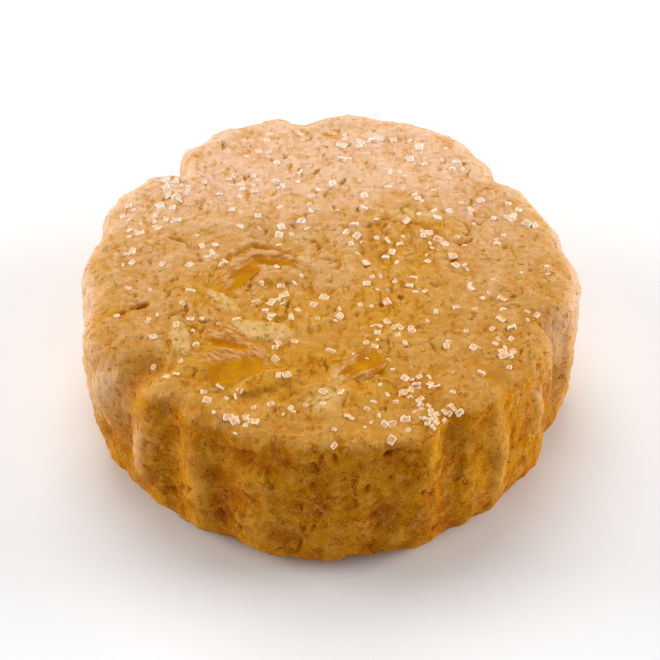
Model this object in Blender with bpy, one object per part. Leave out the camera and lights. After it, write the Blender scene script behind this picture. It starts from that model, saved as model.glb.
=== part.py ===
"""Thick round shortbread with a fluted edge and three pieces of stem ginger baked into its top.

Frame: the flat base lies on z = 0, centred on the origin, and the top faces +Z.
Bearings run anticlockwise from +X, seen from above. Lengths are millimetres up to main,
which makes them metres.
"""
import math

import bmesh
import bpy
from mathutils import Matrix, Vector, noise

MM = 0.001

# Dough: overall sizes.
HEIGHT = 18.7
DOME = 0.5                  # how much the middle of the top stands above its edge
FLARE = 0.03                # the top is this share wider than the base
LEAN = 2.0                  # how far the top sits behind the base in plan
BULGE = 0.45                # how far the wall swells out below the rim
BASE_ROUND = 3.0
# How far the rounded rim reaches in, at bearings round the biscuit.
RIM_ROUNDS = ((0, 3.7), (45, 3.6), (90, 4.2), (135, 3.0), (180, 3.6), (215, 3.3),
              (240, 2.6), (262, 1.7), (300, 1.0), (325, 1.9), (345, 2.8), (360, 3.7))
RIM_DROP = 0.85             # drop of the rim as a share of how far it reaches in

# Flutes: bearing of each groove, reach of the groove, reach of the lobe after it and how
# much of the groove is left at the rim.
FLUTES = (
    (9, 25.7, 26.3, 0.8),
    (24, 26.0, 25.9, 1.0),
    (40, 23.7, 26.0, 1.0),
    (52, 26.5, 27.3, 1.0),
    (73, 27.1, 27.5, 1.0),
    (98, 24.9, 27.4, 1.0),
    (110, 27.0, 27.1, 1.0),
    (121, 27.4, 26.4, 1.0),
    (137, 21.6, 26.1, 1.0),
    (149, 27.0, 27.3, 1.0),
    (165, 26.0, 27.3, 1.0),
    (187, 26.2, 27.6, 1.0),
    (216, 25.7, 27.0, 1.0),
    (230, 25.3, 26.5, 1.0),
    (243, 24.6, 26.4, 0.5),
    (266, 26.3, 26.4, 0.4),
    (282, 24.9, 26.5, 0.2),
    (300, 25.1, 26.0, 2.0),
    (309, 25.3, 26.1, 0.3),
    (318, 25.7, 26.1, 0.6),
    (343, 23.6, 26.9, 1.0),
    (352, 26.4, 27.1, 0.8),
)
GROOVE_SPAN = 3             # degrees each way that the grooves are softened over
FOOT_SPAN = 9               # and further at the foot, by this share
FOOT_SOFTENING = 0.85

# Swells and hollows of the wall: bearing, height, half spans in degrees and height, out.
WALL_SWELLS = (
    (207, 13.5, 5.0, 4.5, 0.45),
    (199, 14.5, 6.0, 3.5, 0.50),
    (199, 3.0, 8.0, 3.5, -0.50),
    (221, 10.0, 4.0, 7.0, 0.30),
    (253, 15.6, 8.0, 1.5, -0.35),
    (285, 15.2, 6.0, 1.5, -0.30),
    (300, 15.0, 3.0, 2.4, -0.40),
    (313, 10.5, 3.0, 7.0, 0.30),
)

# Broad swells and hollows of the top: x, y, spread, height.
SWELLS = (
    (8.0, 9.5, 4.0, 0.45),
    (6.5, 1.0, 5.0, -0.30),
    (-8.0, 9.0, 4.0, 0.30),
    (-7.5, 5.2, 1.6, -0.35),
    (-19.0, -14.0, 2.4, -0.90),
    (-10.0, -18.5, 3.0, -0.30),
    (1.0, -19.0, 4.0, 0.30),
    (12.0, -19.0, 3.0, 0.35),
    (-20.0, 5.0, 3.0, 0.25),
    (17.0, 8.0, 3.5, -0.25),
)

# Mesh density of the dough.
COLUMNS_PER_FLUTE = 6
BASE_ROWS = 3
BASE_ROUND_ROWS = 3
SIDE_ROWS = 6
RIM_ROWS = 4
TOP_ROWS = 10

# Stem ginger, whose lower part the dough holds: length, width, depth below and rise above
# the dough, place, turn in degrees, radius the length is bent to (0 for straight), how
# much the width grows towards the far end, squareness and raggedness of the outline.
GINGER = {
    "ginger_piece_1": dict(length=12.2, width=3.3, depth=3.2, rise=0.55, place=(-8.9, 0.9),
                           turn=31, bend=5.2, taper=-0.22, square=2.6, ragged=0.10),
    "ginger_piece_2": dict(length=8.8, width=6.4, depth=3.6, rise=0.55, place=(-10.4, -12.2),
                           turn=-75, bend=0, taper=0.24, square=3.2, ragged=0.14),
    "ginger_piece_3": dict(length=6.0, width=3.8, depth=2.4, rise=0.45, place=(3.5, -13.8),
                           turn=42, bend=0, taper=0, square=2.6, ragged=0.10),
}
GINGER_SEGMENTS = 24
GINGER_RINGS = 12
GINGER_EDGE = 0.12          # how far a slice's edge lies below the dough's top
GAP = 0.3                   # between a slice and its pocket

DOUGH_COLOUR = (0.70, 0.38, 0.13, 1.0)
GINGER_COLOUR = (0.62, 0.27, 0.03, 1.0)


def clear_scene():
    for thing in list(bpy.data.objects):
        bpy.data.objects.remove(thing, do_unlink=True)


def food_material(name, colour, roughness):
    material = bpy.data.materials.new(name)
    material.use_nodes = True
    shader = material.node_tree.nodes["Principled BSDF"]
    shader.inputs["Base Color"].default_value = colour
    shader.inputs["Roughness"].default_value = roughness
    shader.inputs["Metallic"].default_value = 0.0
    return material


def smooth_step(value, low, high):
    share = min(1.0, max(0.0, (value - low) / (high - low)))
    return share * share * (3 - 2 * share)


def flute_bearings():
    """Bearings of the columns, evenly spread inside each flute, so grooves stay crisp."""
    bearings = []
    for index, flute in enumerate(FLUTES):
        start = flute[0]
        end = FLUTES[(index + 1) % len(FLUTES)][0]
        span = (end - start) % 360
        for step in range(COLUMNS_PER_FLUTE):
            bearings.append(start + span * step / COLUMNS_PER_FLUTE)
    return bearings


def sharp_outline(bearing, at_rim):
    """Reach of the fluted wall before it is softened."""
    for index, (start, groove, lobe, keep) in enumerate(FLUTES):
        next_start, next_groove, _, next_keep = FLUTES[(index + 1) % len(FLUTES)]
        along = ((bearing - start) % 360) / ((next_start - start) % 360)
        if along < 1:
            floor = groove + (next_groove - groove) * along
            kept = keep + (next_keep - keep) * along if at_rim else 1.0
            arch = math.sin(math.pi * along)
            return lobe - (lobe - floor) * (1 - arch) * kept
    raise ValueError("the flutes leave a gap")


def outline(bearing, span, at_rim=False):
    """The fluted outline averaged over a span of degrees each way."""
    reaches = [sharp_outline(bearing + offset, at_rim) for offset in range(-span, span + 1)]
    return sum(reaches) / len(reaches)


def wall_swell(bearing, height):
    total = 0.0
    for middle, level, wide, tall, out in WALL_SWELLS:
        around = ((bearing - middle + 180) % 360 - 180) / wide
        total += out * math.exp(-around ** 2 - ((height - level) / tall) ** 2)
    return total


def outline_reach(bearing, height):
    """Reach of the wall at a height: fluted in the middle, softer at the foot and rim."""
    wall = outline(bearing, GROOVE_SPAN)
    foot = wall + (outline(bearing, FOOT_SPAN) - wall) * FOOT_SOFTENING
    rim = outline(bearing, GROOVE_SPAN, at_rim=True)
    up = height / HEIGHT
    low = foot + (wall - foot) * smooth_step(up, 0.0, 0.5)
    reach = (low + (rim - low) * smooth_step(up, 0.25, 0.8)) * (1 + FLARE * (up - 0.5))
    return reach + BULGE * math.sin(math.pi * min(up / 0.85, 1.0)) + wall_swell(bearing, height)


def rim_inset(bearing):
    bearing %= 360
    for (start, first), (end, last) in zip(RIM_ROUNDS, RIM_ROUNDS[1:]):
        if bearing <= end:
            return first + (last - first) * (bearing - start) / (end - start)
    raise ValueError("the rim rounds leave a gap")


def mean_reach():
    return sum(groove + lobe for _, groove, lobe, _ in FLUTES) / (2 * len(FLUTES))


def swell(x, y):
    """Height of the broad relief of the top at x, y."""
    total = 0.0
    for centre_x, centre_y, spread, height in SWELLS:
        away = math.hypot(x - centre_x, y - centre_y)
        total += height * math.exp(-(away / spread) ** 2)
    return total


def top_height(x, y):
    return HEIGHT - DOME * (math.hypot(x, y) / mean_reach()) ** 2 + swell(x, y)


def section(bearing):
    """Points (reach, height) of the dough's outline in a vertical cut at this bearing."""
    even = mean_reach()
    inset = rim_inset(bearing)
    rim_foot = HEIGHT - DOME - inset * RIM_DROP
    base_reach = outline_reach(bearing, 0.0) - BASE_ROUND
    foot_out = outline_reach(bearing, BASE_ROUND) - base_reach
    rim_reach = outline_reach(bearing, rim_foot)
    points = [(base_reach * row / BASE_ROWS, 0.0) for row in range(BASE_ROWS)]
    for row in range(BASE_ROUND_ROWS + 1):
        turn = math.pi / 2 * row / BASE_ROUND_ROWS
        points.append((base_reach + foot_out * math.sin(turn), BASE_ROUND * (1 - math.cos(turn))))
    for row in range(1, SIDE_ROWS):
        height = BASE_ROUND + (rim_foot - BASE_ROUND) * row / SIDE_ROWS
        points.append((outline_reach(bearing, height), height))
    for row in range(RIM_ROWS + 1):
        turn = math.pi / 2 * row / RIM_ROWS
        points.append((rim_reach - inset * (1 - math.cos(turn)),
                       rim_foot + inset * RIM_DROP * math.sin(turn)))
    edge_reach = rim_reach - inset
    for row in range(1, TOP_ROWS + 1):
        share = 1 - row / TOP_ROWS
        fluted = even - inset + (edge_reach - even + inset) * share ** 2
        points.append((fluted * share, HEIGHT - DOME * share ** 2))
    return points


def wrap_dough(mesh):
    """Bend a flat grid of columns and rows round into the closed, fluted solid."""
    bearings = flute_bearings()
    sections = [section(bearing) for bearing in bearings]
    columns = len(bearings)
    rows = len(sections[0]) - 1
    bmesh.ops.create_grid(mesh, x_segments=columns, y_segments=rows, size=0.5)
    for vertex in mesh.verts:
        column = round((vertex.co.x + 0.5) * columns) % columns
        row = round((vertex.co.y + 0.5) * rows)
        reach, height = sections[column][row]
        x = reach * math.cos(math.radians(bearings[column]))
        y = reach * math.sin(math.radians(bearings[column])) + LEAN * (height / HEIGHT - 0.5)
        if row > rows - TOP_ROWS - RIM_ROWS // 2:
            height += swell(x, y)
        vertex.co = Vector((x, y, height))
    bmesh.ops.remove_doubles(mesh, verts=mesh.verts[:], dist=1e-3)
    bmesh.ops.recalc_face_normals(mesh, faces=mesh.faces[:])


def slice_point(ball, length, width, depth, rise, place, turn, bend, taper, square, ragged, grow):
    """A point of a unit ball drawn out into a ragged slice set in the dough."""
    around = math.atan2(ball.y, ball.x)
    out = math.hypot(ball.x, ball.y)
    corner = (abs(math.cos(around)) ** square + abs(math.sin(around)) ** square) ** (1 / square)
    rough = noise.noise(Vector((math.cos(around) * 1.6, math.sin(around) * 1.6, length)))
    share = out * (1 + ragged * rough) / corner
    x = share * math.cos(around) * length / 2 + grow * ball.x
    y = share * math.sin(around) * width / 2 * (1 + taper * share * math.cos(around)) + grow * ball.y
    if bend:
        angle = x / bend
        x, y = (bend + y) * math.sin(angle), (bend + y) * math.cos(angle) - bend
    spun = Matrix.Rotation(math.radians(turn), 2) @ Vector((x, y))
    level = Vector((place[0] + spun.x, place[1] + spun.y, 0.0))
    level.z = top_height(level.x, level.y) - GINGER_EDGE
    if ball.z > 0:
        level.z += (rise + grow) * (1 - (1 - ball.z ** 2) ** 2)
    else:
        level.z -= (depth + grow) * abs(ball.z) ** 0.8
    return level


def shape_slice(mesh, grow=0.0, **sizes):
    """One slice of ginger, perhaps curved, lying level with the dough's top."""
    bmesh.ops.create_uvsphere(mesh, u_segments=GINGER_SEGMENTS, v_segments=GINGER_RINGS, radius=1.0)
    for vertex in mesh.verts:
        vertex.co = slice_point(vertex.co.copy(), grow=grow, **sizes)
    bmesh.ops.recalc_face_normals(mesh, faces=mesh.faces[:])


def add_piece(name, shape, material=None, **sizes):
    """A new object whose mesh the function shape makes."""
    mesh = bmesh.new()
    shape(mesh, **sizes)
    data = bpy.data.meshes.new(name)
    mesh.to_mesh(data)
    mesh.free()
    data.shade_smooth()
    if material:
        data.materials.append(material)
    piece = bpy.data.objects.new(name, data)
    bpy.context.scene.collection.objects.link(piece)
    return piece


def cut_pocket(dough, slice_name, sizes):
    """Hollow the dough round one slice, leaving GAP between them."""
    cutter = add_piece(slice_name + "_pocket", shape_slice, grow=GAP, **sizes)
    cutter.hide_render = True
    cutter.display_type = "WIRE"
    cutter.parent = dough
    cut = dough.modifiers.new(slice_name, "BOOLEAN")
    cut.operation = "DIFFERENCE"
    cut.object = cutter
    cut.solver = "EXACT"


def place_in_frame(dough, pieces):
    """Centre the dough's box over the origin and turn millimetres into metres."""
    points = [vertex.co for vertex in dough.data.vertices]
    middle_x = (min(p.x for p in points) + max(p.x for p in points)) / 2
    middle_y = (min(p.y for p in points) + max(p.y for p in points)) / 2
    move = Matrix.Scale(MM, 4) @ Matrix.Translation((-middle_x, -middle_y, 0))
    for piece in pieces:
        piece.data.transform(move)


def main():
    clear_scene()
    dough_material = food_material("baked dough", DOUGH_COLOUR, 0.75)
    ginger_material = food_material("stem ginger", GINGER_COLOUR, 0.35)
    dough = add_piece("biscuit", wrap_dough, dough_material)
    for name, sizes in GINGER.items():
        add_piece(name, shape_slice, ginger_material, **sizes)
        cut_pocket(dough, name, sizes)
    place_in_frame(dough, list(bpy.data.objects))


main()
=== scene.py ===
import math
import random

import bmesh
import bpy
import numpy as np
from mathutils import Matrix, Vector, kdtree, noise


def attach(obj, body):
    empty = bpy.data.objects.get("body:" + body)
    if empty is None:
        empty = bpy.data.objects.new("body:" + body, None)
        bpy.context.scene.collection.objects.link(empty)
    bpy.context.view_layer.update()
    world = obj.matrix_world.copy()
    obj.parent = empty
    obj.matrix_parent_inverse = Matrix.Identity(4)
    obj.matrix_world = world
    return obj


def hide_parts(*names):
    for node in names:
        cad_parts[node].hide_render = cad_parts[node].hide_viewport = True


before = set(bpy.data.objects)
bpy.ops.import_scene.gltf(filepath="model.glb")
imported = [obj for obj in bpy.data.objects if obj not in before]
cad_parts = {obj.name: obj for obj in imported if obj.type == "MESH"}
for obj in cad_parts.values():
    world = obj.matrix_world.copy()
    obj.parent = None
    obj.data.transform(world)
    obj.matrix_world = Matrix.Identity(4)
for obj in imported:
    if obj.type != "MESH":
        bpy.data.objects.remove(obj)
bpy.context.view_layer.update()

# A thick fluted shortbread: baked dough, three pieces of stem ginger and a scatter of
# granulated sugar. Shapes are worked out in millimetres and made metres at the end.
# Bearings run anticlockwise from +X, seen from above.

MM = 0.001

# ------ dough sizes

HEIGHT = 18.7
DOME = 0.5                  # how much the middle of the top stands above its edge
FLARE = 0.03                # the top is this share wider than the base
LEAN = 2.0                  # how far the top sits behind the base in plan
BULGE = 0.45                # how far the wall swells out below the rim
BULGE_SPAN = 0.85           # share of the height that the bulge takes up
BASE_ROUND = 3.0            # height of the rounded foot, and how far it reaches in
# Bearings round the biscuit, and how far the rounded rim reaches in there.
RIM_ROUNDS = ((0, 3.7), (45, 3.6), (90, 4.2), (135, 3.0), (180, 3.6), (215, 3.3),
              (240, 2.6), (262, 1.7), (300, 1.0), (325, 1.9), (345, 2.8))
RIM_DROP = 0.85             # depth of the rounded rim as a share of that reach

# Bearing of each groove in degrees, reach of the groove, reach of the lobe after it and
# the groove's depth at the rim as a share of its depth below.
FLUTES = (
    (9, 25.7, 26.3, 0.8),
    (24, 26.0, 25.9, 1.0),
    (40, 23.7, 26.0, 1.0),
    (52, 26.5, 27.3, 1.0),
    (73, 27.1, 27.5, 1.0),
    (98, 24.9, 27.4, 1.0),
    (110, 27.0, 27.1, 1.0),
    (121, 27.4, 26.4, 1.0),
    (137, 21.6, 26.1, 1.0),
    (149, 27.0, 27.3, 1.0),
    (165, 26.0, 27.3, 1.0),
    (187, 26.2, 27.6, 1.0),
    (216, 25.7, 27.0, 1.0),
    (230, 25.3, 26.5, 1.0),
    (243, 24.6, 26.4, 0.5),
    (266, 26.3, 26.4, 0.4),
    (282, 24.9, 26.5, 0.2),
    (300, 25.1, 26.0, 2.0),
    (309, 25.3, 26.1, 0.3),
    (318, 25.7, 26.1, 0.6),
    (343, 23.6, 26.9, 1.0),
    (352, 26.4, 27.1, 0.8),
)
GROOVE_SPAN = 3.0           # degrees each way that the grooves are softened over
FOOT_SPAN = 9.0             # the same for the softer outline of the foot
FOOT_SOFTENING = 0.85       # share of that softer outline which the foot takes on
FOOT_TOP = 0.5              # share of the height where the foot's softening ends
RIM_SPAN = (0.25, 0.8)      # shares of the height over which the rim's outline takes over
STEPS = 4                   # steps of the outline for each degree

# Broad swells and hollows of the top: x, y, spread, height.
SWELLS = (
    (8.0, 9.5, 4.0, 0.45),
    (6.5, 1.0, 5.0, -0.30),
    (-8.0, 9.0, 4.0, 0.30),
    (-7.5, 5.2, 1.6, -0.35),
    (-19.0, -14.0, 2.4, -0.90),
    (-10.0, -18.5, 3.0, -0.30),
    (1.0, -19.0, 4.0, 0.30),
    (12.0, -19.0, 3.0, 0.35),
    (-20.0, 5.0, 3.0, 0.25),
    (17.0, 8.0, 3.5, -0.25),
)
SWELLS_START = 2.5          # how far below the edge of the top the swells begin
SWELLS_BUILD = 2.0          # the height over which they build up

# Mesh density: cells along each side of the top patch, then rows down the outside.
TOP_CELLS = 200
RIM_ROWS = 15
WALL_ROWS = 30
FOOT_ROWS = 7
BASE_SHARES = (0.93, 0.78, 0.55, 0.3, 0.1, 0.0)

# ------ ginger sizes

# Length, width, depth below and rise above the dough, place, turn, radius the length is bent
# to, how much the width grows towards the far end, squareness and raggedness of the outline.
GINGER = {
    "ginger_piece_1": dict(length=12.2, width=3.3, depth=3.2, rise=0.40, place=(-8.9, 0.9),
                           turn=31, bend=5.2, taper=-0.22, square=2.6, ragged=0.10),
    "ginger_piece_2": dict(length=8.8, width=6.4, depth=3.6, rise=0.40, place=(-10.4, -12.2),
                           turn=-75, bend=0, taper=0.24, square=3.2, ragged=0.14),
    "ginger_piece_3": dict(length=6.0, width=3.8, depth=2.4, rise=0.30, place=(3.5, -13.8),
                           turn=42, bend=0, taper=0, square=2.6, ragged=0.10),
}
FIBRE_TURNS = {"ginger_piece_1": 30, "ginger_piece_2": -35, "ginger_piece_3": 35}
# Ridges and furrows across the ginger: start and end in plan, half width, height.
GINGER_RIDGES = (
    (-11.2, -1.8, -10.3, 0.9, 0.7, 0.20),
    (-10.3, 0.9, -8.6, 2.4, 0.7, 0.20),
    (-8.6, 2.4, -6.4, 2.4, 0.7, 0.20),
    (-6.4, 2.4, -3.2, 1.0, 0.6, 0.18),
    (-10.0, -3.0, -9.4, -0.4, 0.9, -0.15),
    (-7.8, 0.8, -4.4, 0.3, 0.7, -0.18),
    (-13.0, -8.8, -9.8, -10.4, 1.1, 0.16),
    (-13.4, -10.6, -9.2, -12.0, 0.45, -0.26),
    (-11.4, -12.2, -7.0, -12.2, 0.6, 0.10),
    (-12.8, -13.0, -7.6, -12.9, 0.7, 0.10),
    (-12.4, -15.6, -7.4, -14.4, 1.1, -0.16),
    (1.5, -14.6, 3.8, -11.8, 0.5, 0.16),
    (5.2, -12.2, 5.5, -13.8, 0.4, 0.10),
    (1.8, -16.2, 4.4, -15.3, 0.5, 0.14),
    (2.2, -15.2, 4.8, -13.0, 0.9, -0.16),
)


# ------ helpers

def smooth_step(value, low, high):
    t = np.clip((value - low) / (high - low), 0.0, 1.0)
    return t * t * (3 - 2 * t)


def noise_at(points, size, seed=0.0):
    """Smooth noise, about -1 to 1, at points in millimetres, with lumps of the given size."""
    shift = Vector((seed * 17.3, seed * 5.1, seed * 9.7))
    return np.array([noise.noise(Vector(p) / size + shift) for p in points])


def fractal_at(points, size, octaves, seed=0.0):
    shift = Vector((seed * 11.9, seed * 7.3, seed * 3.1))
    return np.array([noise.fractal(Vector(p) / size + shift, 1.0, 2.0, octaves) for p in points])


def cells_at(points, size, seed=0.0):
    """Distance to the nearest of scattered points, in units of size."""
    shift = Vector((seed * 3.7, seed * 13.1, seed * 6.9))
    return np.array([noise.voronoi(Vector(p) / size + shift)[0][0] for p in points])


def finish_net(net, name):
    mesh = bpy.data.meshes.new(name)
    net.to_mesh(mesh)
    net.free()
    return mesh


def point_tree(points, indexes):
    """Some of the points, to be searched for those near a place."""
    tree = kdtree.KDTree(len(indexes))
    for index in indexes:
        tree.insert(points[index], int(index))
    tree.balance()
    return tree


def add_object(name, data):
    piece = bpy.data.objects.new(name, data)
    bpy.context.scene.collection.objects.link(piece)
    return piece


# ------ dough outline

def sharp_outline(at_rim):
    """Reach of the fluted wall at each step round it, before it is softened."""
    reaches = []
    for step in range(360 * STEPS):
        degrees = step / STEPS
        for index, (start, groove, lobe, keep) in enumerate(FLUTES):
            next_start, next_groove, _, next_keep = FLUTES[(index + 1) % len(FLUTES)]
            along = ((degrees - start) % 360) / ((next_start - start) % 360)
            if along < 1:
                floor = groove + (next_groove - groove) * along
                kept = keep + (next_keep - keep) * along if at_rim else 1.0
                reaches.append(lobe - (lobe - floor) * (1 - math.sin(math.pi * along)) * kept)
                break
    return np.array(reaches)


def soften(reaches, span):
    half = round(span * STEPS)
    return np.mean([np.roll(reaches, shift) for shift in range(-half, half + 1)], axis=0)


OUTLINES = {
    "rim": soften(sharp_outline(True), GROOVE_SPAN),
    "wall": soften(sharp_outline(False), GROOVE_SPAN),
    "foot": soften(sharp_outline(False), FOOT_SPAN),
}
EVEN_REACH = sum(groove + lobe for _, groove, lobe, _ in FLUTES) / (2 * len(FLUTES))


def outline(name, bearing):
    around = 360 * STEPS
    return np.interp(np.degrees(bearing) * STEPS, np.arange(around), OUTLINES[name], period=around)


def outline_reach(bearing, height):
    """Reach of the wall at a height: fluted in the middle, softer at the foot and rim."""
    wall = outline("wall", bearing)
    foot = wall + (outline("foot", bearing) - wall) * FOOT_SOFTENING
    rim = outline("rim", bearing)
    up = height / HEIGHT
    low = foot + (wall - foot) * smooth_step(up, 0.0, FOOT_TOP)
    bulge = BULGE * np.sin(np.pi * np.minimum(up / BULGE_SPAN, 1.0))
    return (low + (rim - low) * smooth_step(up, *RIM_SPAN)) * (1 + FLARE * (up - 0.5)) + bulge


def rim_inset(bearing):
    degrees, insets = zip(*RIM_ROUNDS)
    return np.interp(np.degrees(bearing), degrees, insets, period=360)


def rim_foot(bearing):
    return HEIGHT - DOME - rim_inset(bearing) * RIM_DROP


def rim_reach(bearing):
    return outline_reach(bearing, rim_foot(bearing))


def swell(x, y):
    total = np.zeros_like(x)
    for centre_x, centre_y, spread, height in SWELLS:
        total += height * np.exp(-((x - centre_x) ** 2 + (y - centre_y) ** 2) / spread ** 2)
    return total


def top_height(x, y):
    return HEIGHT - DOME * (x * x + y * y) / EVEN_REACH ** 2 + swell(x, y)


# ------ dough mesh

def dough_rows():
    """The rows below the top patch, each a kind and how far along that kind it is."""
    rows = [("rim", row / RIM_ROWS) for row in range(1, RIM_ROWS + 1)]
    rows += [("wall", row / WALL_ROWS) for row in range(1, WALL_ROWS + 1)]
    rows += [("foot", row / FOOT_ROWS) for row in range(1, FOOT_ROWS + 1)]
    rows += [("base", share) for share in BASE_SHARES]
    return rows


def row_place(kind, along, bearing):
    """Reach and height of one row at the given bearings."""
    inset = rim_inset(bearing)
    low = rim_foot(bearing)
    base_reach = outline_reach(bearing, 0.0) - BASE_ROUND
    if kind == "rim":
        turn = math.pi / 2 * (1 - along)
        height = low + inset * RIM_DROP * math.sin(turn)
        return rim_reach(bearing) - inset * (1 - math.cos(turn)), height
    if kind == "wall":
        height = low + (BASE_ROUND - low) * along
        return outline_reach(bearing, height), height
    if kind == "foot":
        turn = math.pi / 2 * (1 - along)
        foot_out = outline_reach(bearing, BASE_ROUND) - base_reach
        height = BASE_ROUND * (1 - math.cos(turn))
        return base_reach + foot_out * math.sin(turn), np.full_like(bearing, height)
    return base_reach * along, np.zeros_like(bearing)


def dough_net():
    """A closed net: a square patch for the top, whose edge is drawn out row by row.

    The net lies in its own space: the patch at z 0, and row n of the outside at z -n.
    """
    net = bmesh.new()
    bmesh.ops.create_grid(net, x_segments=TOP_CELLS, y_segments=TOP_CELLS, size=1.0)
    for vertex in net.verts:
        x, y, _ = vertex.co
        vertex.co = (x * math.sqrt(1 - y * y / 2), y * math.sqrt(1 - x * x / 2), 0.0)
    edge = [e for e in net.edges if e.is_boundary]
    for row in range(len(dough_rows())):
        drawn = bmesh.ops.extrude_edge_only(net, edges=edge)["geom"]
        edge = [item for item in drawn if isinstance(item, bmesh.types.BMEdge)
                and item.is_boundary]
        verts = [item for item in drawn if isinstance(item, bmesh.types.BMVert)]
        bmesh.ops.translate(net, verts=verts, vec=(0, 0, -1))
    return net


def place_net(points):
    """Turn the net's own space into the plain biscuit, in millimetres."""
    bearing = np.arctan2(points[:, 1], points[:, 0])
    share = np.hypot(points[:, 0], points[:, 1])
    row = np.round(-points[:, 2]).astype(int)
    inset = rim_inset(bearing)
    edge = rim_reach(bearing) - inset
    reach = share * (EVEN_REACH - inset + (edge - EVEN_REACH + inset) * share ** 2)
    height = HEIGHT - DOME * share ** 2
    for number, (kind, along) in enumerate(dough_rows(), start=1):
        here = row == number
        reach[here], height[here] = row_place(kind, along, bearing[here])
    x = reach * np.cos(bearing)
    y = reach * np.sin(bearing) + LEAN * (height / HEIGHT - 0.5)
    above = height - (HEIGHT - DOME - SWELLS_START)
    on_top = np.clip(above / SWELLS_BUILD, 0, 1) * (row <= RIM_ROWS)
    return np.stack([x, y, height + swell(x, y) * on_top], axis=1)


def mesh_vectors(mesh, kind):
    """The co or the normal of every vertex."""
    flat = np.empty(len(mesh.vertices) * 3, np.float32)
    mesh.vertices.foreach_get(kind, flat)
    return flat.reshape(-1, 3).astype(float)


def add_layer(mesh, name, values):
    layer = mesh.attributes.new(name, "FLOAT", "POINT")
    layer.data.foreach_set("value", values.astype(np.float32))


def set_mesh_points(mesh, points):
    mesh.vertices.foreach_set("co", points.astype(np.float32).ravel())
    mesh.update()


# ------ dough relief

LIP_REACH = 1.8             # how far out a raised lip ends, in radii of its hollow
CRACK_ENDS = 0.06           # how far short of closed the ends of a crack stop
CRACK_TAPER = 0.6           # the lower, the more sudden the narrowing at the ends
CRACK_WOBBLE = 0.35         # how much the width and depth vary along a crack
CRACK_STEP = 0.12


class Carver:
    """Collects cracks and pits as a depth for each point of the dough."""

    def __init__(self, points):
        self.points = points
        self.depth = np.zeros(len(points))
        self.lip = np.zeros(len(points))
        self.tree = point_tree(points, range(len(points)))

    def dig(self, place, radius, depth, lip=0.0):
        """A round hollow, whose rim stands up by lip."""
        for _, index, away in self.tree.find_range(place, radius * LIP_REACH):
            share = away / radius
            if share < 1:
                self.depth[index] = max(self.depth[index], depth * (1 - share * share))
            elif lip:
                raised = lip * (LIP_REACH - share) / (LIP_REACH - 1)
                self.lip[index] = max(self.lip[index], raised)

    def stroke(self, line, width, depth, lip=0.0):
        """A crack along a line of points, narrowing to both ends."""
        lengths = [math.dist(a, b) for a, b in zip(line, line[1:])]
        whole = sum(lengths)
        gone = 0.0
        for (start, end), length in zip(zip(line, line[1:]), lengths):
            count = max(1, round(length / CRACK_STEP))
            for part in range(count):
                t = part / count
                place = Vector(start).lerp(Vector(end), t)
                along = (gone + length * t) / whole
                opened = math.sin(math.pi * (CRACK_ENDS + (1 - 2 * CRACK_ENDS) * along)) ** CRACK_TAPER
                opened *= 1 + CRACK_WOBBLE * noise.noise(place * 2.1)
                self.dig(place, width / 2 * opened, depth * opened, lip)
            gone += length


def surface_point(x, y):
    return Vector((x, y, float(top_height(np.array([x]), np.array([y]))[0])))


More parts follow.
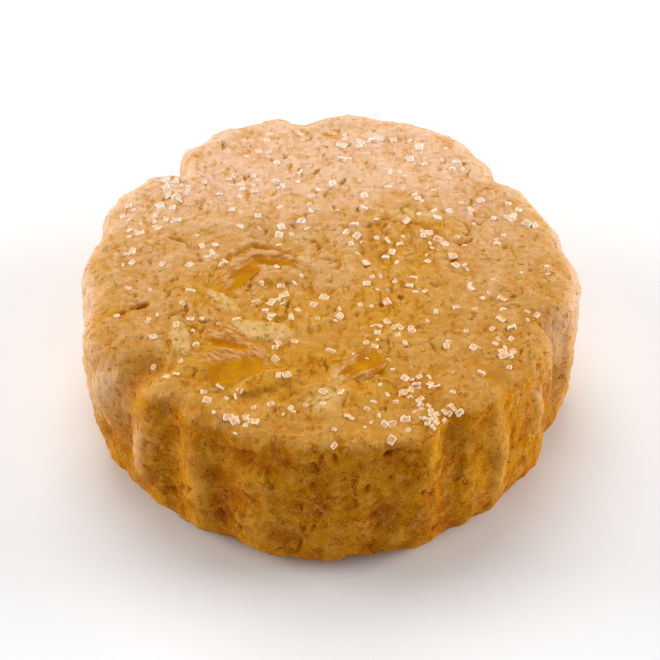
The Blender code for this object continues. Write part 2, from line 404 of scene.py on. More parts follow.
# Cracks and folds of the top, each its width, its depth and a line in plan.
TOP_CRACKS = (
    (0.8, 0.35, (3.2, 6.2), (4.4, 6.9), (5.8, 6.7), (6.4, 7.3), (7.6, 7.4)),
    (0.6, 0.3, (8.4, 7.7), (9.6, 7.1), (10.6, 6.9), (11.2, 6.1), (12.4, 5.6), (13.1, 4.9)),
    (0.7, 0.5, (3.6, 6.9), (4.9, 7.3), (6.1, 7.3)),
    (0.6, 0.6, (13.2, 4.6), (14.4, 4.4), (15.4, 4.9), (15.9, 5.8)),
    (0.85, 0.6, (-11.5, 2.3), (-10.9, 2.2), (-9.8, 3.3), (-8.4, 4.2), (-6.8, 3.7), (-5.2, 2.7),
     (-3.8, 2.0)),
    (0.4, 0.4, (-1.6, 1.6), (-0.6, 1.7), (0.6, 1.4)),
    (0.9, 1.3, (-21.6, -5.6), (-20.6, -5.1), (-19.4, -4.8)),
    (0.6, 0.4, (-23.5, -6.2), (-22.6, -6.1), (-21.4, -5.6)),
    (0.3, 0.45, (-11.1, -7.6), (-10.1, -8.9), (-9.2, -10.1)),
    (0.6, 0.5, (-15.8, -4.6), (-15.4, -5.8), (-15.6, -6.8)),
    (0.5, 0.45, (-14.6, -7.6), (-13.4, -8.0), (-12.4, -7.4)),
    (0.5, 0.5, (-4.6, -4.8), (-4.6, -5.6), (-4.7, -6.5)),
    (0.4, 0.35, (-7.0, -7.7), (-5.8, -7.6), (-4.9, -7.8)),
    (0.7, 0.45, (-18.2, 5.4), (-16.8, 5.0), (-15.8, 4.4)),
    (0.4, 0.45, (-14.6, 3.0), (-14.2, 1.8), (-13.8, 1.2)),
    (0.35, 0.35, (-13.4, -0.6), (-12.8, -1.2)),
    (0.5, 0.5, (-0.9, -13.6), (-0.5, -14.4), (-0.4, -15.2)),
    (0.4, 0.4, (10.6, -10.8), (11.3, -11.9), (11.5, -12.8)),
    (0.4, 0.35, (-13.6, -17.4), (-11.6, -17.6), (-9.8, -17.3)),
    (0.5, 0.45, (15.3, 10.4), (15.9, 11.2), (15.6, 12.3)),
    (0.45, 0.45, (15.2, 7.8), (15.5, 6.9), (15.2, 6.0)),
    (0.35, 0.35, (17.0, 2.0), (18.4, 1.8), (19.6, 2.3)),
    (0.6, 0.4, (22.4, 4.6), (22.8, 5.6), (23.6, 6.6)),
    (0.45, 0.4, (-0.4, 12.8), (-0.8, 11.6)),
    (0.45, 0.4, (0.2, 10.4), (0.7, 9.2)),
    (0.5, 0.4, (14.8, 19.0), (15.2, 17.8), (15.0, 16.8)),
    (0.45, 0.4, (-10.0, 15.8), (-9.6, 14.6)),
    (0.4, 0.35, (18.0, -9.2), (19.2, -9.8)),
)
LAID_JITTER = 0.15          # how far each point of a laid crack is moved
LAID_LIP = 0.08

# The seeded scatter between them: how many, and ranges of width or radius and of depth.
SCATTER_SEED = 11
SCATTERED_CRACKS = (110, (0.45, 0.6), (0.25, 0.45))
SCATTERED_PITS = (90, (0.28, 0.4), (0.15, 0.3))
WALL_PITS = (160, (0.2, 0.35), (0.06, 0.16))
SCATTERED_WALL_CRACKS = (16, (0.4, 0.5), (0.3, 0.6))
CRACKS_REACH = 24.5
PITS_REACH = 25.0
FRONT = -6.0                # in front of this y a share of the cracks is left out
FRONT_SHARE = 0.55
CRACK_LIP = 0.03
PIT_LIP = 0.02

# Cracks of the wall: bearing and height of the middle, length up, lean sideways, width, depth.
WALL_CRACKS = (
    (283, 16.7, 0.7, 0.8, 1.0, 1.3),
    (268, 16.9, 1.3, 0.3, 0.55, 0.6),
    (271, 17.0, 1.0, -0.3, 0.5, 0.55),
    (266.5, 15.6, 1.5, -0.4, 0.5, 0.6),
    (266, 13.2, 0.5, 0.8, 0.5, 0.6),
    (275.5, 11.0, 0.9, -0.6, 0.5, 0.55),
    (278.5, 12.5, 0.6, 0.3, 0.45, 0.55),
    (267.5, 9.2, 0.8, -0.6, 0.5, 0.6),
    (266, 7.0, 0.6, 0.4, 0.5, 0.6),
    (263, 3.8, 1.8, 0.3, 0.5, 0.55),
    (248.5, 4.8, 0.5, 0.4, 0.5, 0.6),
    (284, 13.2, 0.5, -0.5, 0.45, 0.55),
    (291, 10.5, 0.6, 0.3, 0.45, 0.6),
    (257, 12.4, 0.5, -0.5, 0.45, 0.6),
    (236, 8.0, 0.8, 0.3, 0.45, 0.6),
    (306, 7.0, 0.7, 0.3, 0.45, 0.6),
)

# Ridges and hollows of the wall: bearing, height, half span in degrees, half height, lean in
# degrees for each millimetre up, how far out, and how pale (dark where negative).
# The pale column is painted highlight on the ridges and rim lip; where negative, painted shade in the
# hollows and under the rim.
WALL_MARKS = (
    (207, 13.5, 4.0, 4.5, 0.8, 0.45, 0.9),
    (199, 14.5, 6.0, 3.5, 0.0, 0.50, 0.3),
    (215, 17.0, 4.5, 1.8, 0.0, -0.20, -0.9),
    (196, 16.6, 2.5, 1.4, 0.0, -0.15, -0.5),
    (199, 3.0, 8.0, 3.5, 0.0, -0.50, 0.0),
    (216, 13.0, 3.0, 4.0, 0.3, -0.30, -0.2),
    (221, 10.0, 3.2, 7.0, 0.25, 0.35, 0.65),
    (230, 10.0, 2.8, 7.0, -0.1, -0.30, -0.25),
    (238, 9.0, 2.6, 7.0, -0.3, 0.30, 0.6),
    (243, 4.0, 2.5, 2.5, 0.0, -0.15, -0.6),
    (253, 15.5, 9.0, 1.4, 0.0, -0.42, -1.3),
    (255, 9.0, 1.6, 6.0, 0.0, 0.15, 0.35),
    (272, 16.8, 2.5, 0.9, 0.0, -0.20, -0.7),
    (285, 15.2, 6.0, 1.2, -0.5, -0.30, -0.7),
    (293, 15.0, 2.0, 2.0, 0.0, 0.18, 0.20),
    (283, 17.8, 12.0, 0.8, 0.0, 0.10, 0.7),
    (300, 15.0, 2.0, 2.4, -0.6, -0.35, -0.15),
    (308, 10.0, 3.0, 3.0, -1.0, -0.30, -0.15),
    (313, 10.5, 2.5, 7.0, 0.0, 0.58, 1.3),
    (317, 11.0, 1.6, 5.0, 0.0, -0.30, -0.6),
    (328, 12.0, 1.4, 5.0, -0.1, 0.30, 0.8),
)
MARK_WANDER = 1.4           # degrees that the edges of the marks wander


def wall_marks(points):
    """How far the listed ridges and hollows of the wall stand out, and how pale they are."""
    out = np.zeros(len(points))
    tone = np.zeros(len(points))
    bearing = np.degrees(np.arctan2(points[:, 1], points[:, 0]))
    bearing += MARK_WANDER * noise_at(points, 2.2, seed=9)
    for middle, height, wide, tall, lean, swelling, pale in WALL_MARKS:
        above = points[:, 2] - height
        around = (bearing - middle - lean * above + 180) % 360 - 180
        share = np.exp(-(around / wide) ** 2 - (above / tall) ** 2)
        out += swelling * share
        # tone: painted highlight on the ridges, painted shade in the hollows.
        tone += pale * share
    on_wall = smooth_step(np.hypot(points[:, 0], points[:, 1]), 20, 23)
    return out * on_wall, np.clip(tone, -1, 1) * on_wall


def wall_point(bearing, height):
    turn = math.radians(bearing)
    reach = float(outline_reach(turn, height))
    y = reach * math.sin(turn) + LEAN * (height / HEIGHT - 0.5)
    return Vector((reach * math.cos(turn), y, height))


def lay_top_cracks(carver, draw):
    for width, depth, *line in TOP_CRACKS:
        places = []
        for x, y in line:
            moved = [draw.uniform(-LAID_JITTER, LAID_JITTER) for _ in range(2)]
            places.append(surface_point(x, y) + Vector((*moved, 0)))
        carver.stroke(places, width, depth, LAID_LIP)


def top_place(draw, reach):
    """A place drawn evenly over the top, out to a reach."""
    away = reach * math.sqrt(draw.random())
    bearing = draw.uniform(0, math.tau)
    return away * math.cos(bearing), away * math.sin(bearing)


def scatter_top_cracks(carver, draw):
    """Short crooked cracks, most running from front to back, and fewer near the front."""
    count, widths, depths = SCATTERED_CRACKS
    for _ in range(count):
        x, y = top_place(draw, CRACKS_REACH)
        if y < FRONT and draw.random() < FRONT_SHARE:
            continue
        heading = draw.gauss(math.pi / 2, 0.55) if draw.random() < 0.7 else draw.uniform(0, math.pi)
        line = [surface_point(x, y)]
        for _ in range(draw.randint(4, 8)):
            heading += draw.gauss(0, 0.9)
            length = draw.uniform(0.15, 0.35)
            x += length * math.cos(heading)
            y += length * math.sin(heading)
            line.append(surface_point(x, y))
        carver.stroke(line, draw.uniform(*widths), draw.uniform(*depths), CRACK_LIP)


def scatter_pits(carver, draw, walls):
    count, radii, depths = SCATTERED_PITS
    for _ in range(count):
        place = surface_point(*top_place(draw, PITS_REACH))
        carver.dig(place, draw.uniform(*radii), draw.uniform(*depths), PIT_LIP)
    count, radii, depths = WALL_PITS
    for _ in range(count):
        place = Vector(carver.points[draw.choice(walls)])
        carver.dig(place, draw.uniform(*radii), draw.uniform(*depths), PIT_LIP)


def lay_wall_cracks(carver, draw):
    for bearing, height, tall, lean, width, depth in WALL_CRACKS:
        line = []
        for step in (-0.5, -0.2, 0.15, 0.5):
            sideways = math.degrees((lean * step + draw.uniform(-0.12, 0.12)) / EVEN_REACH)
            line.append(wall_point(bearing + sideways, height + tall * step))
        carver.stroke(line, width, depth)


def scatter_wall_cracks(carver, draw, walls):
    count, widths, depths = SCATTERED_WALL_CRACKS
    for _ in range(count):
        place = Vector(carver.points[draw.choice(walls)])
        side = Vector((-place.y, place.x, 0)).normalized()
        line = [place]
        for _ in range(3):
            place = place + side * draw.uniform(-0.5, 0.5) + Vector((0, 0, draw.uniform(-0.6, 0.6)))
            line.append(place)
        carver.stroke(line, draw.uniform(*widths), draw.uniform(*depths))


def carve_dough(points):
    """Cracks and pits: listed ones, and a seeded scatter that fills between them."""
    carver = Carver(points)
    draw = random.Random(SCATTER_SEED)
    walls = np.nonzero((points[:, 2] > 1.5) & (points[:, 2] < HEIGHT - 2.5)
                       & (np.hypot(points[:, 0], points[:, 1]) > 23))[0]
    lay_top_cracks(carver, draw)
    scatter_top_cracks(carver, draw)
    scatter_pits(carver, draw, walls)
    lay_wall_cracks(carver, draw)
    scatter_wall_cracks(carver, draw, walls)
    return carver.depth, carver.lip


# Heights of the layers of relief; those of the wall are added to those of the whole.
BROAD, BROAD_WALL = 0.18, 0.22
LUMPS, LUMPS_WALL, LUMPS_EDGE = 0.15, 0.10, 0.13
GRAINS, GRAINS_PATCHY = 0.14, 0.10
FINE = 0.09
RIPPLES_WALL = 0.06


def relief(points, wall):
    """Height of the crumb along the normal, apart from cracks and pits, and how raised it is."""
    broad = BROAD * fractal_at(points, 7.0, 2, seed=1)
    broad += BROAD_WALL * wall * noise_at(points, 4.0, seed=8)
    lumps = (LUMPS + LUMPS_WALL * wall) * noise_at(points, 2.2, seed=2)
    edge = smooth_step(np.hypot(points[:, 0], points[:, 1]), 21.5, 24.0)
    lumps += LUMPS_EDGE * edge * noise_at(points, 1.2, seed=10)
    patchy = smooth_step(noise_at(points, 3.5, seed=5), -0.3, 0.3)
    grains = (GRAINS + GRAINS_PATCHY * patchy) * (0.42 - cells_at(points, 0.9, seed=3))
    fine = FINE * noise_at(points, 0.55, seed=4)
    ripples = RIPPLES_WALL * wall * noise_at(points * np.array([0.35, 0.35, 1.0]), 1.3, seed=7)
    crumb = lumps + grains + fine + ripples
    return broad + crumb, np.clip(0.5 + crumb / 0.5, 0, 1)


# ------ dough colours

def patch(points, x, y, across, along, turn, softness):
    """1 inside an ellipse in plan with ragged edges, 0 outside it and below the rim."""
    angle = math.radians(turn)
    dx, dy = points[:, 0] - x, points[:, 1] - y
    u = (dx * math.cos(angle) + dy * math.sin(angle)) / across
    v = (-dx * math.sin(angle) + dy * math.cos(angle)) / along
    ragged = 0.25 * noise_at(points, 1.6, seed=x + y)
    inside = 1 - smooth_step(np.hypot(u, v) + ragged, 1 - softness, 1 + softness)
    return inside * smooth_step(points[:, 2], HEIGHT - 4, HEIGHT - 2)


def patches(points, table):
    """The strongest of a table of patches at each point."""
    return np.max([patch(points, *row) for row in table], axis=0)


# Yellow stains round the ginger and pale flakes: x, y, half sizes, turn, softness.
STAINS = (
    (8.0, 2.0, 5.0, 7.5, 0, 0.7),
    (9.5, 7.5, 5.0, 2.2, -10, 0.6),
    (5.5, -6.0, 5.0, 4.5, 20, 0.8),
    (-12.5, -3.0, 4.0, 4.0, 0, 0.6),
    (-5.0, -6.5, 5.5, 4.0, 0, 0.7),
    (-9.0, -14.0, 7.0, 5.0, -20, 0.6),
    (2.0, -15.5, 5.0, 4.0, 20, 0.7),
    (-3.0, -14.0, 5.0, 3.0, 0, 0.9),
    (-23.4, -6.2, 1.8, 0.8, 20, 0.5),
    (-14.4, -9.6, 0.8, 2.2, 20, 0.5),
)
PALE_FLAKES = (
    (-7.4, -9.2, 3.6, 1.5, -12, 0.2),
    (-16.0, -10.0, 0.9, 2.8, 14, 0.25),
    (-11.5, -4.9, 2.4, 0.9, -48, 0.3),
    (-0.6, -19.0, 2.4, 1.3, 35, 0.6),
    (0.9, -15.6, 0.7, 1.4, 0, 0.5),
    (-3.4, 1.9, 1.3, 0.45, -20, 0.5),
    (9.2, 8.8, 3.4, 0.8, -8, 0.6),
)
RAISED_FLAKES = 3           # the first rows above also stand up
FLAKE_RISE = 0.28
FLAKE_SOFTNESS = 0.15
# Dough lapping over the ginger: x, y, half sizes, turn, height.
DOUGH_LAPS = (
    (-7.0, -16.5, 3.2, 1.2, 22, 0.6),
    (-5.6, -1.2, 2.2, 1.0, 10, 0.40),
)
LAP_SOFTNESS = 0.25
BASE_RELIEF = 0.15          # share of the relief that is left on the flat base
DEEPEST = 0.9               # depth at which a crack is as dark as it gets


def paint_zones(mesh, points, normals, depth, raised, tone):
    """Store where the dough is stained, pale, hollow and on its browner wall (partly baking, partly
    painted shade), and the grooves, raised crumb and marks that its painted shade and highlight follow.
    """
    steep = 0.75 - normals[:, 2] + 0.12 * noise_at(points, 2.5, seed=6)
    wall = smooth_step(steep, -0.15, 0.2)
    bearing = np.arctan2(points[:, 1], points[:, 0])
    # Low in the grooves of the flutes, where the wall's colour gets painted shade.
    groove_shade = np.clip(0.5 + 0.7 * (outline("wall", bearing) - outline("foot", bearing)), 0, 1)
    zones = {
        "stain": patches(points, STAINS),
        "pale": patches(points, PALE_FLAKES),
        "hollow": np.clip(depth / DEEPEST, 0, 1),
        "wall": wall,
        "groove_shade": groove_shade,
        "raised": raised,
        # tone: painted highlight above 0.5, painted shade below it.
        "tone": 0.5 + 0.5 * tone,
    }
    for name, values in zones.items():
        add_layer(mesh, name, values)


def plain_dough():
    """The closed mesh of the biscuit before its relief, and the middle of its plan."""
    mesh = finish_net(dough_net(), "shortbread_dough")
    points = place_net(mesh_vectors(mesh, "co"))
    set_mesh_points(mesh, points)
    shell = bmesh.new()
    shell.from_mesh(mesh)
    bmesh.ops.remove_doubles(shell, verts=shell.verts[:], dist=1e-4)
    bmesh.ops.recalc_face_normals(shell, faces=shell.faces[:])
    shell.to_mesh(mesh)
    shell.free()
    return mesh, box_middle(points)


def raised_patches(points):
    """Height of the flakes and of the dough that laps over the ginger."""
    raised = [row[:5] + (FLAKE_SOFTNESS,) for row in PALE_FLAKES[:RAISED_FLAKES]]
    laps = [height * patch(points, *row, LAP_SOFTNESS) for *row, height in DOUGH_LAPS]
    return FLAKE_RISE * patches(points, raised) + np.max(laps, axis=0)


def make_dough():
    mesh, middle = plain_dough()
    points = mesh_vectors(mesh, "co")
    normals = mesh_vectors(mesh, "normal")
    depth, lip = carve_dough(points)
    wall = smooth_step(HEIGHT - points[:, 2], 2.0, 5.0)
    crumb, raised = relief(points, wall)
    # tone is the marks' painted highlight and shade.
    marks, tone = wall_marks(points)
    out = crumb + marks + lip - depth + raised_patches(points)
    out *= BASE_RELIEF + (1 - BASE_RELIEF) * smooth_step(points[:, 2], 0.0, 1.0)
    paint_zones(mesh, points, normals, depth, raised, tone)
    moved = points + normals * out[:, None]
    moved[:, 2] = np.maximum(moved[:, 2], 0.0)
    set_mesh_points(mesh, moved)
    mesh.shade_smooth()
    return mesh, moved, middle


# ------ ginger meshes

GINGER_SINK = 0.12          # how far its edge lies below the plain top
CREST_CONTRAST = 1.6


def ridge_height(x, y):
    """Height added by the ridges and furrows at a place in plan."""
    total = 0.0
    for start_x, start_y, end_x, end_y, half, height in GINGER_RIDGES:
        line = Vector((end_x - start_x, end_y - start_y))
        from_start = Vector((x - start_x, y - start_y))
        along = max(0.0, min(1.0, from_start.dot(line) / line.length_squared))
        away = (from_start - line * along).length / half
        total += height * math.exp(-away * away)
    return total


def ginger_point(ball, length, width, depth, rise, place, turn, bend, taper, square, ragged):
    """A point of a unit ball drawn out into a ragged slice set in the dough."""
    around = math.atan2(ball.y, ball.x)
    out = math.hypot(ball.x, ball.y)
    corner = (abs(math.cos(around)) ** square + abs(math.sin(around)) ** square) ** (1 / square)
    rough = noise.noise(Vector((math.cos(around) * 1.6, math.sin(around) * 1.6, length)))
    rough += 0.5 * noise.noise(Vector((math.cos(around) * 4.5, math.sin(around) * 4.5, length)))
    out *= (1 + ragged * rough) / corner
    x = out * math.cos(around) * length / 2
    y = out * math.sin(around) * width / 2 * (1 + taper * out * math.cos(around))
    if bend:
        angle = x / bend
        x, y = (bend + y) * math.sin(angle), (bend + y) * math.cos(angle) - bend
    spun = Matrix.Rotation(math.radians(turn), 2) @ Vector((x, y))
    level = surface_point(place[0] + spun.x, place[1] + spun.y)
    level.z -= GINGER_SINK
    if ball.z > 0:
        inside = 1 - (1 - ball.z * ball.z) ** 2
        level.z += rise * inside + ridge_height(level.x, level.y) * min(1.0, inside * 2)
    else:
        level.z -= depth * abs(ball.z) ** 0.8
    return level


def make_ginger(name, sizes):
    net = bmesh.new()
    bmesh.ops.create_icosphere(net, subdivisions=6, radius=1.0)
    tops = []
    for vertex in net.verts:
        top = vertex.co.z > 0
        tops.append(top)
        vertex.co = ginger_point(vertex.co.copy(), **sizes)
        if top:
            dents = 0.10 * noise.noise(vertex.co * 0.7) + 0.05 * noise.noise(vertex.co * 1.9)
            vertex.co.z += dents
    bmesh.ops.recalc_face_normals(net, faces=net.faces[:])
    if net.calc_volume(signed=True) < 0:
        bmesh.ops.reverse_faces(net, faces=net.faces[:])
    mesh = finish_net(net, name)
    heights = [ridge_height(v.co.x, v.co.y) if top else 0.0 for v, top in zip(mesh.vertices, tops)]
    add_layer(mesh, "crest", np.clip(0.5 + CREST_CONTRAST * np.array(heights), 0, 1))
    mesh.shade_smooth()
    return mesh


# ------ sugar

SUGAR_SEED = 5
CRYSTAL_SIZES = (0.45, 0.55, 0.6, 0.7, 0.8)
# Ranges of a crystal's length, width and thickness, and of how deep it sinks, as shares.
CRYSTAL_SIDES = ((0.95, 1.25), (0.8, 1.0), (0.45, 0.65))
CRYSTAL_SINK = (0.5, 0.85)
CRYSTAL_WEAR = (0.11, 0.18)
# Where the sugar lies thickly: x, y, spread, number of crystals.
SUGAR_CLUSTERS = (
    (10.0, -21.0, 2.8, 30),
    (3.0, -22.8, 2.5, 14),
    (6.5, -9.0, 3.0, 14),
    (7.5, -3.0, 2.4, 8),
    (-17.5, 13.5, 1.8, 16),
    (-21.0, 8.5, 2.2, 12),
    (-5.5, -3.8, 1.4, 5),
    (-8.5, -22.0, 2.5, 9),
    (18.5, -12.5, 1.0, 5),
    (-12.5, 2.5, 2.2, 6),
    (9.0, -17.0, 2.5, 10),
    (17.5, 9.0, 4.0, 10),
    (-6.0, 16.0, 5.0, 10),
    (8.0, 20.0, 5.0, 12),
)
LOOSE_CRYSTALS = 250
LOOSE_REACH = 24.0
SUGAR_REACH = 25.5


def crystal_places(draw):
    places = []
    for x, y, spread, count in SUGAR_CLUSTERS:
        for _ in range(count):
            places.append((draw.gauss(x, spread * 0.6), draw.gauss(y, spread * 0.6)))
    places += [top_place(draw, LOOSE_REACH) for _ in range(LOOSE_CRYSTALS)]
    return [place for place in places if math.hypot(*place) <= SUGAR_REACH]


def add_crystal(net, edge_mark, draw, place, normal):
    """One cuboid crystal with worn edges, sunk a little into the dough."""
    size = draw.choice(CRYSTAL_SIZES) * draw.uniform(0.9, 1.15)
    sides = [size * draw.uniform(*shares) for shares in CRYSTAL_SIDES]
    made = bmesh.ops.create_cube(net, size=1.0)["verts"]
    edges = list({edge for vertex in made for edge in vertex.link_edges})
    for vertex in made:
        vertex.co += Vector([draw.gauss(0, 0.07) for _ in range(3)])
    lean = draw.gauss(0, 0.25) if draw.random() < 0.75 else draw.uniform(-1.2, 1.2)
    tilt = (normal.to_track_quat("Z", "Y").to_matrix().to_4x4()
            @ Matrix.Rotation(draw.uniform(0, math.tau), 4, "Z")
            @ Matrix.Rotation(lean, 4, "X"))
    centre = place + normal * sides[2] * (0.5 - draw.uniform(*CRYSTAL_SINK))
    move = Matrix.Translation(centre) @ tilt @ Matrix.Diagonal((*sides, 1.0))
    bmesh.ops.transform(net, matrix=move, verts=made)
    wear = size * draw.uniform(*CRYSTAL_WEAR)
    worn = bmesh.ops.bevel(net, geom=edges, offset=wear, affect="EDGES", segments=1,
                           profile=0.5, material=-1)["faces"]
    for face in worn:
        face[edge_mark] = 1.0


def make_sugar(points, normals):
    draw = random.Random(SUGAR_SEED)
    tree = point_tree(points, np.nonzero(points[:, 2] > HEIGHT - 4)[0])
    net = bmesh.new()
    # The bevel faces are marked so their colour can carry a painted highlight.
    edge_mark = net.faces.layers.float.new("worn_edge_highlight")
    for x, y in crystal_places(draw):
        _, index, _ = tree.find(surface_point(x, y))
        add_crystal(net, edge_mark, draw, Vector(points[index]), Vector(normals[index]))
    bmesh.ops.recalc_face_normals(net, faces=net.faces[:])
    return finish_net(net, "sugar_crystals")


# ------ materials

class Nodes:
    """Short ways to add and join the nodes of one material, with sizes in millimetres."""

    def __init__(self, name):
        self.material = bpy.data.materials.new(name)
        self.material.use_nodes = True
        self.tree = self.material.node_tree
        self.shader = self.tree.nodes["Principled BSDF"]
        self.where = self.tree.nodes.new("ShaderNodeTexCoord").outputs["Object"]

    def feed(self, sockets, values):
        """Join each named socket to another one, or set it to a plain value."""
        for name, value in values.items():
            if isinstance(value, bpy.types.NodeSocket):
                self.tree.links.new(value, sockets[name])
            else:
                sockets[name].default_value = value

    def add(self, kind, values, **settings):
        node = self.tree.nodes.new(kind)
        for key, value in settings.items():
            setattr(node, key, value)
        self.feed(node.inputs, values)
        return node

    def noise(self, size, detail=2.0, roughness=0.5, stretch=None, distortion=0.0, turn=0, out="Fac"):
        """Noise with lumps about size millimetres across."""
        where = self.where
        if stretch:
            placing = {
                "Vector": where,
                "Rotation": (0, 0, math.radians(turn)),
                "Scale": [1 / share for share in stretch],
            }
            where = self.add("ShaderNodeMapping", placing, vector_type="TEXTURE").outputs["Vector"]
        values = {
            "Vector": where,
            "Scale": 1 / (size * MM),
            "Detail": detail,
            "Roughness": roughness,
            "Distortion": distortion,
        }
        return self.add("ShaderNodeTexNoise", values).outputs[out]

    def cells(self, size):
        """Distance to the nearest of points scattered about size millimetres apart."""
        values = {"Vector": self.where, "Scale": 1 / (size * MM)}
        return self.add("ShaderNodeTexVoronoi", values).outputs["Distance"]

    def layer(self, name):
        return self.add("ShaderNodeAttribute", {}, attribute_name=name).outputs["Fac"]

    def parts(self):
        """The three coordinates of the place being shaded."""
        return self.add("ShaderNodeSeparateXYZ", {"Vector": self.where}).outputs

    def spread(self, value, low, high, to_low=0.0, to_high=1.0):
        """A value from low to high turned smoothly into one from to_low to to_high."""
        values = {"Value": value, "From Min": low, "From Max": high, "To Min": to_low, "To Max": to_high}
        return self.add("ShaderNodeMapRange", values, interpolation_type="SMOOTHSTEP").outputs["Result"]

    def math(self, operation, first, second):
        return self.add("ShaderNodeMath", {0: first, 1: second}, operation=operation).outputs["Value"]

    def times(self, first, second):
        return self.math("MULTIPLY", first, second)

    def plus(self, first, second):
        return self.math("ADD", first, second)

    def either(self, first, second):
        return self.math("MAXIMUM", first, second)

    def mix(self, share, first, second, blend="MIX"):
        """Two colours, each a socket or four numbers, mixed by a socket or a number."""
        values = {"Factor": share, 6: first, 7: second}
        return self.add("ShaderNodeMix", values, data_type="RGBA", blend_type=blend).outputs[2]

    def bump(self, height, distance, onto=None):
        values = {"Strength": 1.0, "Distance": distance * MM, "Height": height}
        if onto is not None:
            values["Normal"] = onto
        return self.add("ShaderNodeBump", values).outputs["Normal"]

    def finish(self, tone, normal, rough, shine, glow, radius, scale):
        """The material, once its shader has its colour, its normal and its even values."""
        self.feed(self.shader.inputs, {
            "Base Color": tone,
            "Normal": normal,
            "Roughness": rough,
            "Specular IOR Level": shine,
            "Subsurface Weight": glow,
            "Subsurface Radius": radius,
            "Subsurface Scale": scale * MM,
        })
        return self.material


def shade(red, green, blue):
    """A linear colour from display values of 0 to 255."""
    def linear(value):
        value /= 255
        return value / 12.92 if value <= 0.04045 else ((value + 0.055) / 1.055) ** 2.4
    return (linear(red), linear(green), linear(blue), 1.0)


def crack_lines(m, size, stretch, seed):
    """Distance to the nearest line of a wobbly net, and how open the net is there."""
    push = {0: m.noise(0.5, 4.0, out="Color"), "Scale": 0.8 * MM}
    push = m.add("ShaderNodeVectorMath", push, operation="SCALE").outputs["Vector"]
    moved = m.add("ShaderNodeVectorMath", {0: m.where, 1: push}, operation="ADD").outputs["Vector"]
    placing = {"Vector": moved, "Scale": stretch, "Location": (seed * MM, 0, 0)}
    placed = m.add("ShaderNodeMapping", placing).outputs["Vector"]
    values = {"Vector": placed, "Scale": 1 / (size * MM)}
    cells = m.add("ShaderNodeTexVoronoi", values, feature="DISTANCE_TO_EDGE")
    opened = m.spread(m.noise(size * 0.8, 2.0, 0.6), 0.58, 0.80, 0.0001, 1.0)
    return cells.outputs["Distance"], opened


def open_crack(m, distance, opened, width):
    """1 in the middle of a crack, falling to 0 at the given width where it is fully open."""
    ratio = m.math("DIVIDE", distance, m.times(opened, width))
    return m.spread(ratio, 0.0, 1.0, 1.0, 0.0)


def crumb_pits(m, size, stretch, low):
    """Ragged pits between the crumbs, more of them in the stains: 1 inside, 0 outside."""
    rough = m.noise(size, 4.0, 0.62, stretch=stretch, distortion=0.4)
    rough = m.plus(rough, m.times(m.layer("stain"), 0.045))
    return m.spread(rough, low, low + 0.04)


def top_colour(m, far):
    """Golden tan at the near side, paler and pinker at the far side as painted backlight, blotched and
    stained.
    """
    tan = m.mix(m.spread(far, 0.0, 0.6), shade(208, 146, 62), shade(222, 168, 102))
    tan = m.mix(m.spread(far, 0.6, 1.0), tan, shade(250, 204, 168))
    rosy = m.mix(far, shade(222, 166, 88), shade(238, 188, 146))
    tan = m.mix(m.spread(m.noise(4.0, 3.0), 0.42, 0.62, 0.0, 0.35), tan, rosy)
    tan = m.mix(m.spread(m.noise(1.6, 4.0, 0.6), 0.46, 0.64, 0.0, 0.4), tan, shade(212, 150, 60))
    tan = m.mix(m.times(m.layer("stain"), 0.7), tan, shade(218, 152, 36))
    return m.mix(m.times(m.layer("pale"), 0.75), tan, shade(234, 196, 132))


def wall_colour(m, side, behind, high):
    """Golden brown at the front and behind, tan at the sides, clouded with paler crumb; the front's
    brown is partly browning, partly painted shade, the sides' tan partly painted side light.
    """
    brown = m.mix(m.spread(m.noise(3.4, 3.0), 0.36, 0.66), shade(208, 134, 2), shade(178, 102, 0))
    brown = m.mix(m.spread(m.noise(1.6, 4.0, 0.6), 0.32, 0.48, 0.35, 0.0), brown, shade(156, 80, 0))
    # Lighter towards the rim: the lower wall's darker brown is painted shade.
    brown = m.mix(m.times(high, 0.4), brown, shade(218, 142, 10))
    # The tan towards the sides is partly the crust's own colour, partly painted side light, weaker low
    # down as painted shade.
    tan = m.mix(m.spread(side, 0.1, 0.5), brown, shade(216, 158, 88))
    tan = m.mix(m.spread(side, 0.35, 0.9), tan, shade(240, 202, 172))
    tan = m.mix(behind, tan, shade(206, 138, 40))
    crumb = m.mix(m.spread(side, 0.0, 0.4), shade(218, 156, 68), shade(226, 180, 126))
    cloud = m.spread(m.noise(1.5, 4.0, 0.62), 0.48, 0.66, 0.0, 0.6)
    tan = m.mix(cloud, tan, crumb)
    # Raised crumb lighter: painted highlight.
    tan = m.mix(m.spread(m.layer("raised"), 0.5, 0.9, 0.0, 0.3), tan, crumb)
    # Darker in the grooves of the flutes: painted shade.
    return m.mix(m.spread(m.layer("groove_shade"), 0.1, 0.5, 0.3, 0.0), tan, shade(150, 76, 0))


def crumb_texture(m, colour, height, low_share, low, high_share, high):
    """Deepen the hollows between the grains (painted shade) and lighten the grain tops (painted
    highlight), each by a share.
    """
    low = m.mix(low_share, colour, low)
    high = m.mix(high_share, colour, high)
    colour = m.mix(m.spread(height, 0.37, 0.47, 1.0, 0.0), colour, low)
    return m.mix(m.spread(height, 0.50, 0.60, 0.0, 0.85), colour, high)


